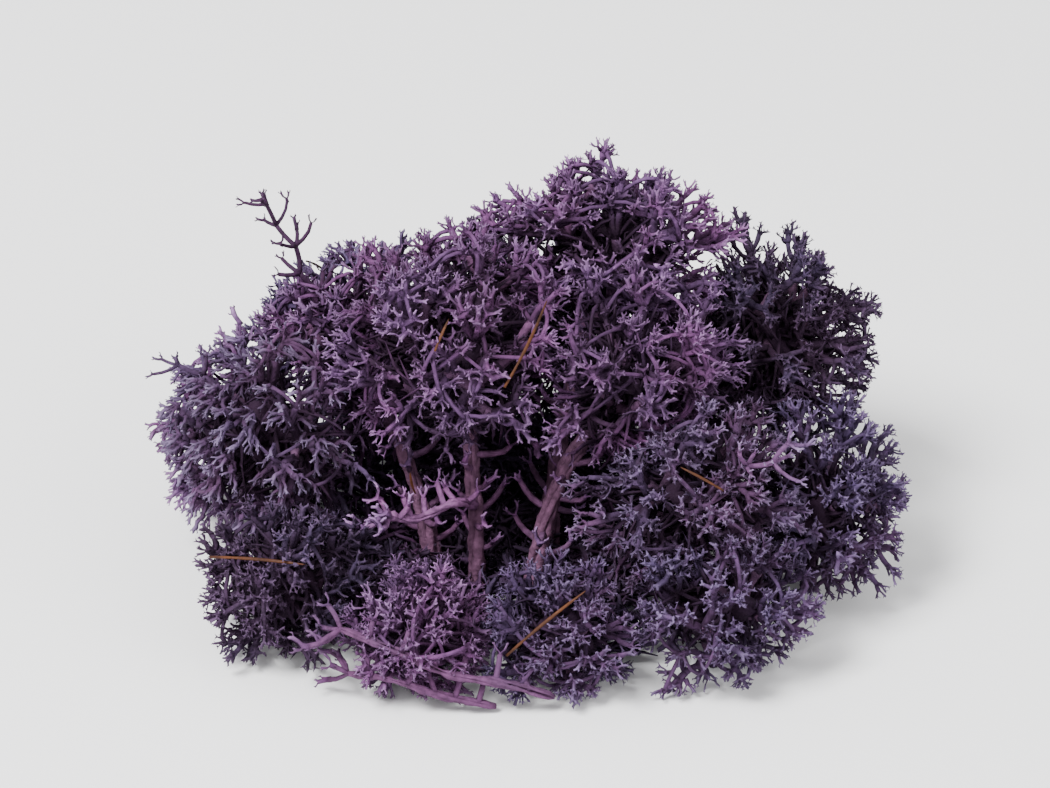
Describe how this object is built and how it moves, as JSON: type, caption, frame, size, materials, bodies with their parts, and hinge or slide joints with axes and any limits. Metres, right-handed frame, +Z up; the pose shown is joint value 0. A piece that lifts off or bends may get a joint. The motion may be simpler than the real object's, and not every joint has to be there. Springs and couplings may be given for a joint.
{
  "type": "reindeer moss clump",
  "caption": "Clump of dyed reindeer moss: rounded heads of forked lichen twigs in purple tones, packed into a dome on bare stems, with dry needles caught in it. Decorative filler.",
  "frame": {"origin": "on the surface that the clump rests on, under the middle of its box", "axes": "+X along the clump's width, to the right as seen from the open side; +Y to the back; +Z up"},
  "size_m": [0.1196, 0.096, 0.0636],
  "materials": {
    "plum": "matte",
    "orchid": "matte",
    "lavender": "matte",
    "violet": "matte",
    "dusk": "matte",
    "dry_needle": "matte"
  },
  "bodies": {
    "root": {"head_dome_front": "plum", "head_dome_right": "plum", "head_dome_top": "orchid", "head_dome_left": "plum", "head_left": "lavender", "head_back_right": "dusk", "head_right_front": "lavender", "head_low_left": "dusk", "head_low_front_right": "violet", "head_low_front": "violet", "head_low_front_left": "orchid", "head_low_right": "violet", "head_back": "dusk", "head_back_left": "violet", "head_low_back_left": "plum", "head_low_back_right": "plum", "head_inner": "dusk", "needle_dome": "dry_needle", "needle_left": "dry_needle", "needle_front": "dry_needle"}
  },
  "joints": []
}
